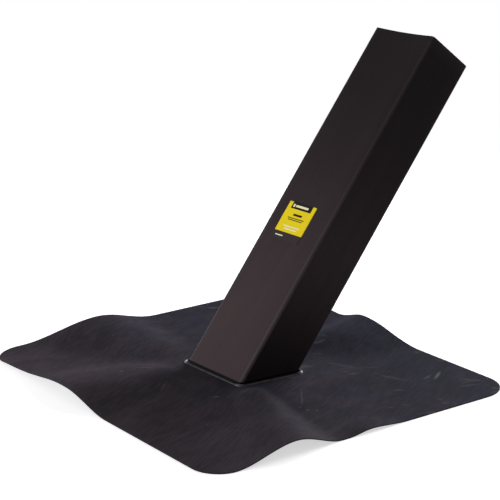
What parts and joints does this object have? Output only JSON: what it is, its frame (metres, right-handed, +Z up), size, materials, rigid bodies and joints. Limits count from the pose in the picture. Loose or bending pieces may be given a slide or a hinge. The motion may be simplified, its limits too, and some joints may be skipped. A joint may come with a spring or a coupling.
{
  "type": "flat roof outlet",
  "caption": "Slanted rectangular rainwater tube bonded through a loose, folded sheet of rubber roofing membrane.",
  "frame": {"origin": "the point of the floor under the middle of the tube's foot, in the plane that the membrane lies on", "axes": "+Z up from the floor, +X the way the tube leans, +Y along the tube's wide side"},
  "size_m": [0.4853, 0.4457, 0.3561],
  "materials": {
    "tube_plastic": "satin",
    "membrane_rubber": "matte",
    "collar_rubber": "satin",
    "label_film": "satin"
  },
  "bodies": {
    "root": {"outlet_tube": "tube_plastic", "membrane": "membrane_rubber", "foot_collar": "collar_rubber", "product_label": "label_film"}
  },
  "joints": []
}
